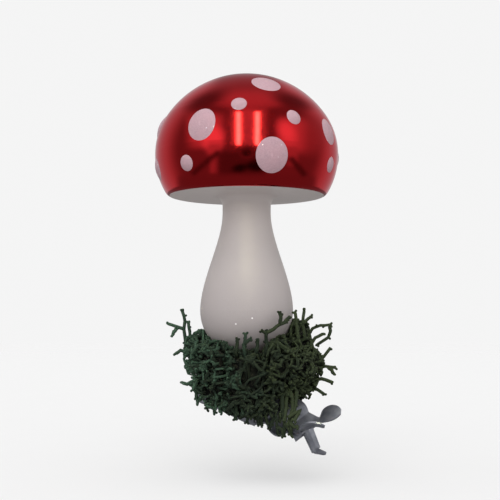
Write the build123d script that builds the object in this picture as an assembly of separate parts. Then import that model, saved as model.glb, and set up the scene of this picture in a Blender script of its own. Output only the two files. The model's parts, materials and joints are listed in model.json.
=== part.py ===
from build123d import *

import math
import os

# Clip-on blown-glass mushroom: a hollow glass toadstool cemented into a sleeve on a sprung sheet-metal
# clip, with a collar of preserved moss that hides the sleeve. Millimetres, +Z along the mushroom's axis.
# The origin is the centre of the hollow in which the clip's jaws hold a twig.

# Blown glass
CAP_DIAMETER = 60.0
RIM_TUCK = 4.2
DOME_HEIGHT = 26.5
DOME_SIDE_RADIUS = 22.5
SKIRT_HEIGHT = 13.6
RIM_ROUND = 2.5
STEM_DIAMETER = 15.8
STEM_FLARE = 3.2
STEM_STRAIGHT = 2.5
STEM_HEIGHT = 31.6
BULB_DIAMETER = 30.2
BULB_SWELL = 10.1
STEM_DRAW = 9.2
NECK_DIAMETER = 9.0
NECK_LENGTH = 7.0
GLASS_WALL = 0.8

# Red lacquer and the raised spots: azimuth in degrees, height above the cap's underside, diameter
LACQUER_FILM = 0.15
LACQUER_EDGE = 0.15
SPOT_RISE = 0.6
SPOT_SINK = 0.3
SPOTS = [
    (-88, 19.0, 9.4),
    (-65, 25.0, 4.8),
    (-42, 33.2, 9.4),
    (-30, 21.3, 4.8),
    (-45, 9.0, 10.0),
    (2, 19.0, 8.0),
    (4, 8.5, 4.9),
    (-99, 7.5, 4.9),
    (-138, 8.0, 7.0),
    (-142, 22.5, 7.2),
    (-150, 38.4, 6.6),
    (35, 13.0, 6.4),
    (44, 26.0, 9.6),
    (74, 10.0, 9.0),
    (92, 21.0, 5.0),
    (118, 29.0, 8.4),
    (130, 12.5, 6.0),
    (163, 20.5, 9.2),
    (180, 8.5, 5.0),
    (-155, 27.5, 5.2),
]

# Sleeve and cement on the glass neck
CEMENT_GAP = 0.9
SLEEVE_WALL = 0.5
SLEEVE_SHOULDER = 0.8
CEMENT_DROP = 0.7
SEAT_GAP = 2.4
GLUE_FIT = 0.03

# Sheet-metal clip, in its own frame: X ahead to the claws, Y along the twig, Z square to the levers
CLIP_PITCH = 20.0
CLIP_ROLL = 18.0
SHEET = 0.6
TWIG_DIAMETER = 6.4
JAW_WIDTH = 13.0
HINGE_BACK = 12.5
SEAT_BACK = 16.7
LEVER_REAR = 34.0
LEVER_SPACING = 9.2
PAD_START = 24.0
PAD_RISE = 1.4
PAD_ROUND = 5.0
WAIST_AHEAD = 2.5
WAIST_HEIGHT = 0.7
HOLLOW_FLANK = 60.0
UPPER_THROAT_AHEAD = 8.2
THROAT_GAP = 0.3
FLANK_ROUND = 0.9
LIP_ROUND = 3.0
PAD_BEND = 8.0

# Upper claws: two twisted blades, each drawn by its sections: ahead, aside, rise, width, twist in degrees
UPPER_EDGE = 9.3
UPPER_LIP_AHEAD = 10.4
UPPER_LIP_RISE = 2.6
CLAW_SHEET = 0.54
UPPER_CLAW = [
    (8.9, 3.9, 1.13, 5.1, 0.0),
    (10.7, 4.4, 4.0, 6.2, 32.0),
    (12.9, 5.0, 5.6, 5.4, 40.0),
    (15.2, 5.5, 6.8, 1.8, 42.0),
]

# Lower claw: a dished spoon down to a knee, then a narrow tang
LOWER_THROAT_AHEAD = 6.4
LOWER_ROOT = 7.6
LOWER_KNEE_AHEAD = 11.5
LOWER_KNEE_DROP = 6.8
LOWER_KNEE_ROUND = 1.6
LOWER_REACH = 15.4
LOWER_TANG_DROP = 5.9
LOWER_DISH_START = 1.5
LOWER_SPOON_ROUND = 2.6
LOWER_SPOON_END = 2.2
LOWER_TANG_ROOT = 1.5
LOWER_TANG_ROUND = 0.8
LOWER_TRIM = 1.0
LOWER_FLAT = 1.0
LOWER_CUP = 25.0
DISH_BEND = 1.2

# Hinge and torsion spring
PIN_DIAMETER = 2.0
PIN_FIT = 0.05
PIN_HEAD = 3.4
PIN_HEAD_THICKNESS = 0.6
EAR_ROUND = 2.7
EAR_FOOT = 4.2
EAR_GAP = 0.25
SPRING_WIRE = 0.8
SPRING_DIAMETER = 4.6
SPRING_PITCH = 1.3
SPRING_TURNS = 3
SPRING_LEG = 12.0
SPRING_CLEAR = 0.06
GAP_SAMPLES = 400
NEXT_TURN = 1.5 * math.pi

# Moss collar: each tuft is a sector with its own reach from the axis and its lowest and highest level
MOSS_CLEAR = 0.35
MOSS_GLUE_WIDTH = 2.6
MOSS_GLUE_HEIGHT = 5.0
TUFT_GAP = 1.5
TUFT_LOBE = 4.2
LUMP_RISE = 0.9
LUMPS_ACROSS = 2
LUMP_CORNERS = 14
PAD_ROOM = 1.2
TUFTS = {
    "moss_front": (-60.0, 17.0, -11.0, 8.5),
    "moss_front_left": (-111.4, 18.5, -8.0, 11.0),
    "moss_left": (-162.9, 19.0, -3.0, 14.0),
    "moss_back_left": (145.7, 16.0, 5.0, 14.0),
    "moss_back": (94.3, 18.0, -4.0, 16.0),
    "moss_back_right": (42.9, 21.5, -6.0, 18.0),
    "moss_right": (-8.6, 20.0, -3.0, 13.0),
}
SPRIGS_PER_TUFT = 18
SPRIG_THICKNESS = 1.5
SPRIG_LENGTH = 4.4
SPRIG_FORK = 3.4
SPRIG_FORK_ANGLE = 32.0
SPRIG_SINK = 1.6
SPRIG_TAPER = 0.8
SPRIG_TIP = 0.4
SPRIG_SHORT_FORK = 0.8
SPRIG_FAN = 0.75
SPRIG_LOWEST = -65.0
SPRIG_SWEEP = 140.0
SPRIG_LEAST = 0.8
SPRIG_VARIETY = 0.5
KNOB_LEAST = 0.92
KNOB_VARIETY = 0.16

# Even scatter of the moss by the golden ratio, with a stride of its own for each thing that varies
GOLDEN = (math.sqrt(5) - 1) / 2
GOLDEN_ANGLE = 2 * math.pi * (1 - GOLDEN)
SWING_STRIDE = 1.0
KNOB_STRIDE = 3.0
SIDE_STRIDE = 3 * GOLDEN
SCALE_STRIDE = 5.0

# Levels of the mushroom, measured up its axis from the end of the glass neck
CAP_R = CAP_DIAMETER / 2
BULB_R = BULB_DIAMETER / 2
STEM_R = STEM_DIAMETER / 2
NECK_R = NECK_DIAMETER / 2
BULB_Z = NECK_LENGTH + math.sqrt(BULB_R**2 - NECK_R**2)
STEM_Z = BULB_Z + STEM_HEIGHT
FLARE_Z = STEM_Z + STEM_STRAIGHT
UNDERSIDE_Z = FLARE_Z + STEM_FLARE
WIDEST_Z = UNDERSIDE_Z + SKIRT_HEIGHT
SKIRT_R = (RIM_TUCK**2 + SKIRT_HEIGHT**2) / (2 * RIM_TUCK)
SKIRT_X = CAP_R - SKIRT_R
RIM_Z = UNDERSIDE_Z + RIM_ROUND
RIM_X = SKIRT_X + math.sqrt((SKIRT_R - RIM_ROUND) ** 2 - (WIDEST_Z - RIM_Z) ** 2)
RIM_ANGLE = math.degrees(math.atan2(RIM_Z - WIDEST_Z, RIM_X - SKIRT_X))
EDGE_ANGLE = math.degrees(math.asin((LACQUER_EDGE - RIM_ROUND) / RIM_ROUND))
DOME_SIDE_X = CAP_R - DOME_SIDE_RADIUS
DOME_TOP_RADIUS = (
    (DOME_SIDE_X**2 + DOME_HEIGHT**2 - DOME_SIDE_RADIUS**2) / (2 * (DOME_HEIGHT - DOME_SIDE_RADIUS))
)
DOME_TOP_Z = WIDEST_Z + DOME_HEIGHT - DOME_TOP_RADIUS
DOME_ANGLE = math.degrees(math.atan2(WIDEST_Z - DOME_TOP_Z, DOME_SIDE_X))
SLEEVE_R = NECK_R + CEMENT_GAP
SLEEVE_OUT = SLEEVE_R + SLEEVE_WALL
SLEEVE_TOP = NECK_LENGTH - SLEEVE_SHOULDER
GLUE_OUT = SLEEVE_OUT + GLUE_FIT + MOSS_GLUE_WIDTH

# The clip leans against the mushroom: its seat lies on the mushroom's axis, just below the glass neck
LEVER_MID = LEVER_SPACING / 2
LEVER_TOP = LEVER_MID + SHEET / 2
EAR_MID = JAW_WIDTH / 2 - SHEET / 2
THROAT_MID = (THROAT_GAP + SHEET) / 2
INNER_WIDTH = JAW_WIDTH - 2 * (SHEET + EAR_GAP)
TILT = Rot(Y=CLIP_PITCH) * Rot(X=CLIP_ROLL)
FOOT = TILT * Pos(-SEAT_BACK, 0, LEVER_TOP)
MUSHROOM = Pos(FOOT.position + Vector(0, 0, SEAT_GAP))
HINGE = Pos(-HINGE_BACK, 0, 0)
FAR = 80.0


def standing(shape):
    """A shape drawn flat in X and Y, stood up so that its Y becomes Z."""
    return Rot(X=90) * shape


def stem_edges(inset):
    """Outline moved inwards by inset, from the end of the neck to the lacquer's edge at the rim."""
    neck_r = NECK_R - inset
    bulb_r = BULB_R - inset
    stem_r = STEM_R - inset
    flare_x = STEM_R + STEM_FLARE
    join_z = BULB_Z - math.sqrt(bulb_r**2 - neck_r**2)
    join_angle = math.degrees(math.atan2(join_z - BULB_Z, neck_r))
    return [
        Line((neck_r, 0), (neck_r, join_z)),
        CenterArc((0, BULB_Z), bulb_r, join_angle, -join_angle),
        Bezier(
            (bulb_r, BULB_Z),
            (bulb_r, BULB_Z + BULB_SWELL),
            (stem_r, STEM_Z - STEM_DRAW),
            (stem_r, STEM_Z),
        ),
        Line((stem_r, STEM_Z), (stem_r, FLARE_Z)),
        CenterArc((flare_x, FLARE_Z), STEM_FLARE + inset, 180, -90),
        Line((flare_x, UNDERSIDE_Z + inset), (RIM_X, UNDERSIDE_Z + inset)),
        CenterArc((RIM_X, RIM_Z), RIM_ROUND - inset, -90, 90 + EDGE_ANGLE),
    ]


def cap_edges(inset):
    """Outline moved inwards by inset, from the lacquer's edge over the skirt and dome to the top."""
    return [
        CenterArc((RIM_X, RIM_Z), RIM_ROUND - inset, EDGE_ANGLE, RIM_ANGLE - EDGE_ANGLE),
        CenterArc((SKIRT_X, WIDEST_Z), SKIRT_R - inset, RIM_ANGLE, -RIM_ANGLE),
        CenterArc((DOME_SIDE_X, WIDEST_Z), DOME_SIDE_RADIUS - inset, 0, DOME_ANGLE),
        CenterArc((0, DOME_TOP_Z), DOME_TOP_RADIUS - inset, DOME_ANGLE, 90 - DOME_ANGLE),
    ]


def wall_face(outer, inner):
    """Half section of a wall between two outlines that run the same way."""
    ends = [Line(inner[0] @ 0, outer[0] @ 0), Line(outer[-1] @ 1, inner[-1] @ 1)]
    return make_face([*outer, *inner, *ends])


def solid_face():
    """Half section of the whole mushroom, filled to the axis."""
    outer = stem_edges(0) + cap_edges(0)
    axis = [Line(outer[-1] @ 1, (0, 0)), Line((0, 0), outer[0] @ 0)]
    return make_face([*outer, *axis])


def glass_face():
    """Half section of the hollow glass, with a shallow step at the rim where the lacquer begins."""
    stem = stem_edges(0)
    cap = cap_edges(LACQUER_FILM)
    step = Line(stem[-1] @ 1, cap[0] @ 0)
    return wall_face([*stem, step, *cap], stem_edges(GLASS_WALL) + cap_edges(GLASS_WALL))


def lacquer_face():
    """Half section of the red film over the cap."""
    return wall_face(cap_edges(0), cap_edges(LACQUER_FILM))


def turned(face):
    """A half section turned a full round about the mushroom's axis."""
    return revolve(standing(face), Axis.Z)


def cap_point(height):
    """Radius and outward slope of the cap at a height above its underside."""
    z = UNDERSIDE_Z + height
    join_z = WIDEST_Z + DOME_SIDE_RADIUS * math.sin(math.radians(DOME_ANGLE))
    if z < WIDEST_Z:
        centre_x, centre_z, arc_r = SKIRT_X, WIDEST_Z, SKIRT_R
    elif z < join_z:
        centre_x, centre_z, arc_r = DOME_SIDE_X, WIDEST_Z, DOME_SIDE_RADIUS
    else:
        centre_x, centre_z, arc_r = 0, DOME_TOP_Z, DOME_TOP_RADIUS
    slope = math.asin((z - centre_z) / arc_r)
    return centre_x + arc_r * math.cos(slope), slope


def spot(azimuth, height, diameter, cap):
    """One raised dab of glitter paint: a shallow lens that stands on the cap."""
    radius, slope = cap_point(height)
    half = diameter / 2
    bulge = SPOT_RISE + CAP_R - math.sqrt(CAP_R**2 - half**2)
    ball_r = (half**2 + bulge**2) / (2 * bulge)
    low = math.degrees(math.asin((ball_r - bulge - SPOT_SINK) / ball_r))
    lens = Sphere(ball_r, arc_size1=low, arc_size2=90, align=None)
    tip = Pos(radius, 0, UNDERSIDE_Z + height) * Rot(Y=90 - math.degrees(slope))
    return Rot(Z=azimuth) * tip * Pos(0, 0, SPOT_RISE - ball_r) * lens - cap


def lever_sheet(throat_ahead, lip, lip_rounds):
    """The bent sheet of one lever as seen from the side, the upper one, as a flat face."""
    hollow_mid = TWIG_DIAMETER / 2 + SHEET / 2
    flank = math.radians(HOLLOW_FLANK)
    crest = hollow_mid / math.cos(flank)
    foot_x = (crest - WAIST_HEIGHT) / math.tan(flank)
    path = FilletPolyline(
        (-LEVER_REAR, LEVER_MID + PAD_RISE),
        (-PAD_START, LEVER_MID),
        (-HINGE_BACK + WAIST_AHEAD, LEVER_MID),
        (-foot_x, WAIST_HEIGHT),
        (0, crest),
        (foot_x, WAIST_HEIGHT),
        (throat_ahead, THROAT_MID),
        *lip,
        radius=[PAD_BEND, LIP_ROUND, FLANK_ROUND, hollow_mid, FLANK_ROUND, LIP_ROUND, *lip_rounds],
    )
    return trace(path, SHEET)


def bent(face, plan):
    """A sheet with the given side view, cut to the given outline as seen square to the lever."""
    sheet = extrude(standing(face), JAW_WIDTH, both=True)
    return sheet & extrude(plan, FAR, both=True)


def slab(start, end, width):
    """Rectangle from start to end along X, centred on the lever's middle line."""
    return Pos((start + end) / 2, 0) * Rectangle(end - start, width)


def leaf(root, root_r, tip, tip_r):
    """Outline that tapers from a round root to a round tip."""
    ends = [Pos(*root) * Circle(root_r), Pos(*tip) * Circle(tip_r)]
    return make_hull([edge for end in ends for edge in end.edges()])


def dished(plan, start, end, flat, cup):
    """Sheet along a straight lip with both sides turned up beyond a flat middle, cut to the plan."""
    way = Vector(*end) - Vector(*start)
    slope = math.degrees(math.atan2(way.Y, way.X))
    rise = (JAW_WIDTH - flat) * math.tan(math.radians(cup))
    section = FilletPolyline((-JAW_WIDTH, rise), (-flat, 0), (flat, 0), (JAW_WIDTH, rise), radius=DISH_BEND)
    gutter = extrude(Plane.YZ * trace(section, SHEET), way.length)
    lip = Pos(start[0], 0, start[1]) * Rot(Y=-slope)
    return lip * gutter & extrude(plan, FAR, both=True)


def rear_rounded(outline):
    """The outline with the two corners of its finger pad rounded."""
    corners = outline.vertices().group_by(Axis.X)[0]
    return fillet(corners, PAD_ROUND)


def ear(foot_z):
    """Side view of a hinge ear: a tongue from the lever's sheet to a round end about the pin."""
    foot = Line((-EAR_FOOT, foot_z), (EAR_FOOT, foot_z))
    return make_hull([*Circle(EAR_ROUND).edges(), foot])


def ears(foot_z, middle):
    """Both ears of a lever, standing at plus and minus middle."""
    tongue = extrude(standing(ear(foot_z)), SHEET / 2, both=True)
    return HINGE * (Pos(0, middle, 0) * tongue + Pos(0, -middle, 0) * tongue)


def along_pin(radius, length):
    """A cylinder on the hinge's axis."""
    return HINGE * Rot(X=90) * Cylinder(radius, length)


def upper_claw():
    """Twisted blade on the lever's far side, its outer edge turned up towards the tip."""
    middles = [Vector(*place[:3]) for place in UPPER_CLAW]
    sections = []
    for i, (*_, width, twist) in enumerate(UPPER_CLAW):
        way = (middles[min(i + 1, len(middles) - 1)] - middles[max(i - 1, 0)]).normalized()
        level = (Vector(0, 1, 0) - way * way.Y).normalized()
        turn = math.radians(twist)
        across = level * math.cos(turn) + way.cross(level) * math.sin(turn)
        sections.append(Plane(origin=middles[i], x_dir=across, z_dir=way) * Rectangle(width, CLAW_SHEET))
    return loft(sections)


def upper_lever():
    """Lever that carries the mushroom, with two claws."""
    body = rear_rounded(slab(-LEVER_REAR, UPPER_EDGE, JAW_WIDTH))
    sheet = bent(lever_sheet(UPPER_THROAT_AHEAD, [(UPPER_LIP_AHEAD, UPPER_LIP_RISE)], []), body)
    claw = upper_claw()
    lever = sheet + claw + mirror(claw, Plane.XZ) + ears(LEVER_MID, EAR_MID)
    return lever - along_pin(PIN_DIAMETER / 2 + GLUE_FIT, 2 * JAW_WIDTH)


def lower_lever():
    """Lever that swings, with one claw that closes between the upper two."""
    knee = (LOWER_KNEE_AHEAD, LOWER_KNEE_DROP)
    tip = (LOWER_REACH + LOWER_TRIM, LOWER_TANG_DROP)
    body = rear_rounded(slab(-LEVER_REAR, LOWER_ROOT, INNER_WIDTH))
    head = slab(-HINGE_BACK + EAR_FOOT + SHEET, LOWER_ROOT, JAW_WIDTH)
    knee_spot = (LOWER_KNEE_AHEAD, 0)
    tang_end = (LOWER_REACH - LOWER_TANG_ROUND, 0)
    tang = leaf(knee_spot, LOWER_TANG_ROOT, tang_end, LOWER_TANG_ROUND)
    spoon = leaf((LOWER_ROOT, 0), LOWER_SPOON_ROUND, knee_spot, LOWER_SPOON_END)
    face = mirror(lever_sheet(LOWER_THROAT_AHEAD, [knee, tip], [LOWER_KNEE_ROUND]), Plane.XZ)
    throat = Vector(LOWER_THROAT_AHEAD, -THROAT_MID)
    bottom = Vector(LOWER_KNEE_AHEAD, -LOWER_KNEE_DROP)
    dish_start = throat + (bottom - throat).normalized() * LOWER_DISH_START
    dish = dished(spoon, (dish_start.X, dish_start.Y), (bottom.X, bottom.Y), LOWER_FLAT, LOWER_CUP)
    pair = ears(-LEVER_MID, EAR_MID - SHEET - EAR_GAP)
    lever = bent(face, body + head + tang) + dish + pair
    return lever - along_pin(PIN_DIAMETER / 2 + PIN_FIT, 2 * JAW_WIDTH)


def hinge_pin():
    """Headed pin through all four ears."""
    head_at = JAW_WIDTH / 2 + PIN_FIT + PIN_HEAD_THICKNESS / 2
    head = Rot(X=90) * Cylinder(PIN_HEAD / 2, PIN_HEAD_THICKNESS)
    heads = HINGE * (Pos(0, head_at, 0) * head + Pos(0, -head_at, 0) * head)
    return along_pin(PIN_DIAMETER / 2, 2 * head_at) + heads


def biarc(start, start_dir, end, end_dir):
    """Two arcs that join two points with the given directions at their ends."""
    chord = end - start
    spread = 2 * (1 - start_dir.dot(end_dir))
    slope = 2 * chord.dot(start_dir + end_dir)
    reach = (-slope + math.sqrt(slope**2 + 4 * spread * chord.dot(chord))) / (2 * spread)
    middle = (start + start_dir * reach + end - end_dir * reach) / 2
    first = TangentArc(start, middle, tangent=start_dir)
    second = TangentArc(middle, end, tangent=-end_dir, tangent_from_first=False)
    return [first, second]


def torsion_spring():
    """Coil about the pin whose two straight legs press the finger pads apart."""
    coil_r = SPRING_DIAMETER / 2
    leg_end = LEVER_MID - SHEET / 2 - SPRING_WIRE / 2 - SPRING_CLEAR
    lean = math.asin(leg_end / math.hypot(SPRING_LEG, coil_r)) - math.atan2(coil_r, SPRING_LEG)
    first = lean - math.pi / 2
    last = math.pi / 2 - lean + 2 * math.pi * SPRING_TURNS
    climb = SPRING_PITCH / (2 * math.pi)
    half = climb * (last - first) / 2

    def point(turn):
        along = climb * (turn - first) - half
        return Vector(-HINGE_BACK + coil_r * math.cos(turn), along, coil_r * math.sin(turn))

    def heading(turn):
        return Vector(-coil_r * math.sin(turn), climb, coil_r * math.cos(turn)).normalized()

    steps = math.ceil((last - first) / (math.pi / 2))
    turns = [first + (last - first) * i / steps for i in range(steps + 1)]
    edges = [Line(point(first) - heading(first) * SPRING_LEG, point(first))]
    for a, b in zip(turns, turns[1:]):
        edges += biarc(point(a), heading(a), point(b), heading(b))
    edges.append(Line(point(last), point(last) + heading(last) * SPRING_LEG))
    path = Wire(edges)
    samples = [first + (last - first) * i / GAP_SAMPLES for i in range(GAP_SAMPLES + 1)]
    gaps = [(point(a) - point(b)).length for a in samples for b in samples if b - a > NEXT_TURN]
    print("torsion spring: least gap between turns", round(min(gaps) - SPRING_WIRE, 3), "mm")
    section = Plane(origin=path @ 0, z_dir=path % 0) * Circle(SPRING_WIRE / 2)
    return sweep(section, path=path)


def clip_room(grow):
    """Everything below the upper lever's seat, a little more over the finger pads, and the twig's way."""
    width = JAW_WIDTH + 2 * (PIN_FIT + PIN_HEAD_THICKNESS + grow)
    seat_top = LEVER_TOP + grow
    pad_top = LEVER_TOP + PAD_RISE + PAD_ROOM
    under = Pos(0, 0, seat_top - FAR / 2) * Box(2 * FAR, width, FAR)
    pads = Pos(-PAD_START - FAR / 2 + PAD_BEND / 2, 0, pad_top - FAR / 2) * Box(FAR, width, FAR)
    twig = Rot(X=90) * Cylinder(TWIG_DIAMETER / 2 + grow, 2 * FAR)
    return TILT * (under + pads + twig)


def neck_sleeve(below):
    """Tin tube soldered to the seat, its foot cut to the lever's slope."""
    tube = Cylinder(SLEEVE_OUT, FAR) - Cylinder(SLEEVE_R, FAR)
    return MUSHROOM * Pos(0, 0, SLEEVE_TOP - FAR / 2) * tube - below


def neck_cement(below):
    """Plug of cement that holds the glass neck in the sleeve."""
    plug = Pos(0, 0, SLEEVE_TOP - CEMENT_DROP - FAR / 2) * Cylinder(SLEEVE_R - GLUE_FIT, FAR)
    neck = Pos(0, 0, FAR / 2 - GLUE_FIT) * Cylinder(NECK_R + GLUE_FIT, FAR)
    return MUSHROOM * (plug - neck) - below


def moss_glue(room):
    """Bead of hot-melt glue round the sleeve, into which the moss is pressed."""
    bead = Pos(SLEEVE_OUT + GLUE_FIT + MOSS_GLUE_WIDTH / 2, SLEEVE_TOP - MOSS_GLUE_HEIGHT / 2)
    section = bead * RectangleRounded(MOSS_GLUE_WIDTH, MOSS_GLUE_HEIGHT, MOSS_GLUE_WIDTH / 3)
    return MUSHROOM * turned(section) - room


def strut(start, end, start_r, end_r):
    """Tapered three-sided twig between two points."""
    frame = Plane(origin=start, z_dir=end - start)
    points = []
    for origin, radius in ((start, start_r), (end, end_r)):
        for corner in range(3):
            turn = 2 * math.pi * corner / 3
            points.append(origin + (frame.x_dir * math.cos(turn) + frame.y_dir * math.sin(turn)) * radius)
    return ConvexPolyhedron(points)


def lump_of_moss(radius):
    """A round lump with flat facets, its corners spaced evenly by the golden angle."""
    corners = []
    for i in range(LUMP_CORNERS):
        height = 1 - (2 * i + 1) / LUMP_CORNERS
        ring = math.sqrt(1 - height**2)
        turn = i * GOLDEN_ANGLE
        corner = Vector(ring * math.cos(turn), ring * math.sin(turn), height)
        corners.append(corner * radius)
    return ConvexPolyhedron(corners)


def sprig(base, heading, side, scale):
    """A forked sprig of moss: a stalk and two tips."""
    thick = SPRIG_THICKNESS / 2
    fork = base + heading * (SPRIG_SINK + SPRIG_LENGTH * scale)
    angle = math.radians(SPRIG_FORK_ANGLE)
    pieces = [strut(base, fork, thick, thick * SPRIG_TAPER)]
    for sign, length in ((1, SPRIG_FORK), (-1, SPRIG_FORK * SPRIG_SHORT_FORK)):
        way = heading * math.cos(angle) + side * (sign * math.sin(angle))
        end = fork + way * (length * scale)
        pieces.append(strut(fork - heading * (thick / 2), end, thick * SPRIG_TAPER, thick * SPRIG_TIP))
    return pieces


def scatter(index, stride):
    """A number from 0 to 1 that stays evenly spread as the index grows."""
    return (index * stride * GOLDEN) % 1


def tuft_lobes(reach, low, high):
    """Centres of the round corners of a tuft's section: distance from the axis, and level."""
    inner = GLUE_OUT + MOSS_CLEAR + TUFT_LOBE
    outer = reach - TUFT_LOBE
    middle = (low + high) / 2
    return [(inner, low + TUFT_LOBE), (outer, middle), (outer, high - TUFT_LOBE), (inner, middle)]


def lobe_edge(lobes, centre_r, centre_z, lift):
    """Distance from the section's centre to its edge, in a direction lifted from the level."""
    out = 0.0
    for lobe_r, lobe_z in lobes:
        ahead = (lobe_r - centre_r) * math.cos(lift) + (lobe_z - centre_z) * math.sin(lift)
        aside = (lobe_z - centre_z) * math.cos(lift) - (lobe_r - centre_r) * math.sin(lift)
        if abs(aside) < TUFT_LOBE:
            out = max(out, ahead + math.sqrt(TUFT_LOBE**2 - aside**2))
    return out


def tuft_sprigs(lobes, azimuth, spread):
    """Forked sprigs that stand out of a tuft, from its underside round to its top."""
    centre_r = sum(lobe[0] for lobe in lobes) / len(lobes)
    centre_z = sum(lobe[1] for lobe in lobes) / len(lobes)
    pieces = []
    for i in range(SPRIGS_PER_TUFT):
        swing = math.radians(azimuth + spread * SPRIG_FAN * (scatter(i, SWING_STRIDE) - 0.5))
        lift = math.radians(SPRIG_LOWEST + SPRIG_SWEEP * (i + 0.5) / SPRIGS_PER_TUFT)
        radial = Vector(math.cos(swing), math.sin(swing), 0)
        around = Vector(-math.sin(swing), math.cos(swing), 0)
        heading = radial * math.cos(lift) + Vector(0, 0, math.sin(lift))
        across = radial * -math.sin(lift) + Vector(0, 0, math.cos(lift))
        turn = math.pi * scatter(i, SIDE_STRIDE)
        side = around * math.cos(turn) + across * math.sin(turn)
        out = lobe_edge(lobes, centre_r, centre_z, lift)
        base = radial * centre_r + Vector(0, 0, centre_z) + heading * (out - SPRIG_SINK)
        pieces += sprig(base, heading, side, SPRIG_LEAST + SPRIG_VARIETY * scatter(i, SCALE_STRIDE))
    return pieces


def tuft_sector(azimuth, spread):
    """Wedge about the axis to which a tuft is trimmed, so that it keeps clear of its neighbours."""
    edge = FAR * math.tan(math.radians(spread / 2))
    outline = Polyline((0, 0), (FAR, -edge), (FAR, edge), close=True)
    return Rot(Z=azimuth) * extrude(make_face(outline), FAR, both=True)


def tuft(azimuth, reach, low, high, room):
    """One tuft of the collar: a rounded lump round the bulb with forked sprigs standing out of it."""
    spread = 360 / len(TUFTS) - TUFT_GAP
    lobes = tuft_lobes(reach, low, high)
    circles = [Pos(*lobe) * Circle(TUFT_LOBE - LUMP_RISE) for lobe in lobes]
    section = make_hull([edge for circle in circles for edge in circle.edges()])
    lump = Rot(Z=azimuth - spread / 2) * revolve(standing(section), Axis.Z, spread)
    pieces = []
    for i, (lobe_r, lobe_z) in enumerate(lobes * LUMPS_ACROSS):
        swing = azimuth + spread * (scatter(i, SWING_STRIDE) - 0.5)
        knob = TUFT_LOBE * (KNOB_LEAST + KNOB_VARIETY * scatter(i, KNOB_STRIDE))
        pieces.append(Rot(Z=swing) * Pos(lobe_r, 0, lobe_z) * lump_of_moss(knob))
    pieces += tuft_sprigs(lobes, azimuth, spread)
    grown = lump.fuse(*[piece.solid() for piece in pieces])
    bulb = Pos(0, 0, BULB_Z) * Sphere(BULB_R + MOSS_CLEAR)
    core = Pos(0, 0, -FAR / 2 + BULB_Z) * Cylinder(GLUE_OUT + MOSS_CLEAR, FAR)
    return MUSHROOM * ((grown & tuft_sector(azimuth, spread)) - bulb - core) - room


def largest(shape):
    """The biggest solid of a shape, without the crumbs that trimming leaves."""
    return max(shape.solids(), key=lambda solid: solid.volume)


def build():
    cap_solid = turned(solid_face())
    spots = [(MUSHROOM * spot(*place, cap_solid)).solid() for place in SPOTS]
    below = TILT * Pos(0, 0, LEVER_TOP - FAR / 2) * Box(2 * FAR, 2 * FAR, FAR)
    nodes = {
        "glass_body": MUSHROOM * turned(glass_face()),
        "cap_lacquer": MUSHROOM * turned(lacquer_face()),
        "cap_spots": Compound(children=spots),
        "neck_sleeve": neck_sleeve(below),
        "neck_cement": neck_cement(below),
        "upper_lever": TILT * upper_lever(),
        "lower_lever": TILT * lower_lever(),
        "hinge_pin": TILT * hinge_pin(),
        "torsion_spring": TILT * torsion_spring(),
        "moss_glue": largest(moss_glue(clip_room(GLUE_FIT))),
    }
    room = clip_room(MOSS_CLEAR)
    for name, shape in TUFTS.items():
        nodes[name] = largest(tuft(*shape, room))
    return nodes


os.makedirs("parts", exist_ok=True)
for node, shape in build().items():
    export_step(shape, f"parts/{node}.step")
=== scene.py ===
import json
import math
import random

import bmesh
import bpy
from mathutils import Matrix, Vector
from mathutils.bvhtree import BVHTree


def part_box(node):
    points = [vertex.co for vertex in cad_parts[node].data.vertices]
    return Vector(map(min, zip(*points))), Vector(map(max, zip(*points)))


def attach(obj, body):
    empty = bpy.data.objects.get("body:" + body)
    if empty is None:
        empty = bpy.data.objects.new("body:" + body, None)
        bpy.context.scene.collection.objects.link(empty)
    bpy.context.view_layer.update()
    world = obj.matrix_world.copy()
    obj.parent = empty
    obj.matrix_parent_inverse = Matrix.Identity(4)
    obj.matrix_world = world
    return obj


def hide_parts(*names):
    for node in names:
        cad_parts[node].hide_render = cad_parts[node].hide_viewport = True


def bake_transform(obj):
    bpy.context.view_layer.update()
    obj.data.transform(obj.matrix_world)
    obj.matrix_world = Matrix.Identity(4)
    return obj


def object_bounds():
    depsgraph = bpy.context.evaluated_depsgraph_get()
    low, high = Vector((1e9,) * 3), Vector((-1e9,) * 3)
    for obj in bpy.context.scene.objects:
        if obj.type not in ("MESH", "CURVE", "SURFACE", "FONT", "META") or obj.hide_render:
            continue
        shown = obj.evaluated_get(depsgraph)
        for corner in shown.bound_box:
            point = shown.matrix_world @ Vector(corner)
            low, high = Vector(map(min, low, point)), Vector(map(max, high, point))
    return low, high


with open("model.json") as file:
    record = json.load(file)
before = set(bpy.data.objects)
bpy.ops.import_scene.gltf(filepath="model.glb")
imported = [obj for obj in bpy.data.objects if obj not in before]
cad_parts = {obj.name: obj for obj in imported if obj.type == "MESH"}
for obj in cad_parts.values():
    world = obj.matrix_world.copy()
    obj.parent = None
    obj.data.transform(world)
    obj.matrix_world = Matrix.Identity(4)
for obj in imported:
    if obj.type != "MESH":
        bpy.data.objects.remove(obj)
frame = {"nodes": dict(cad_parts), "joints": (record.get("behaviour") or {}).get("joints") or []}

# Looks of a clip-on blown-glass mushroom. Lengths are in metres unless a name ends in _MM or a comment says
# millimetres.
MM = 0.001
UP = Vector((0, 0, 1))
cad_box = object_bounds()

# The photograph's view: the camera stands at an azimuth about the mushroom's axis and looks a little upwards
VIEW_AZIMUTH = 30.0
VIEW_DISTANCE = 312.1 * MM
VIEW_HEIGHT = 32.5 * MM
VIEW_PITCH = 3.88
VIEW_YAW = -0.2
LENS_MM = 68.9
SENSOR_MM = 36.0
VIEW_NEAR = 0.01
VIEW_FAR = 20.0
CAP_MIDDLE = 26.0 * MM

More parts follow.
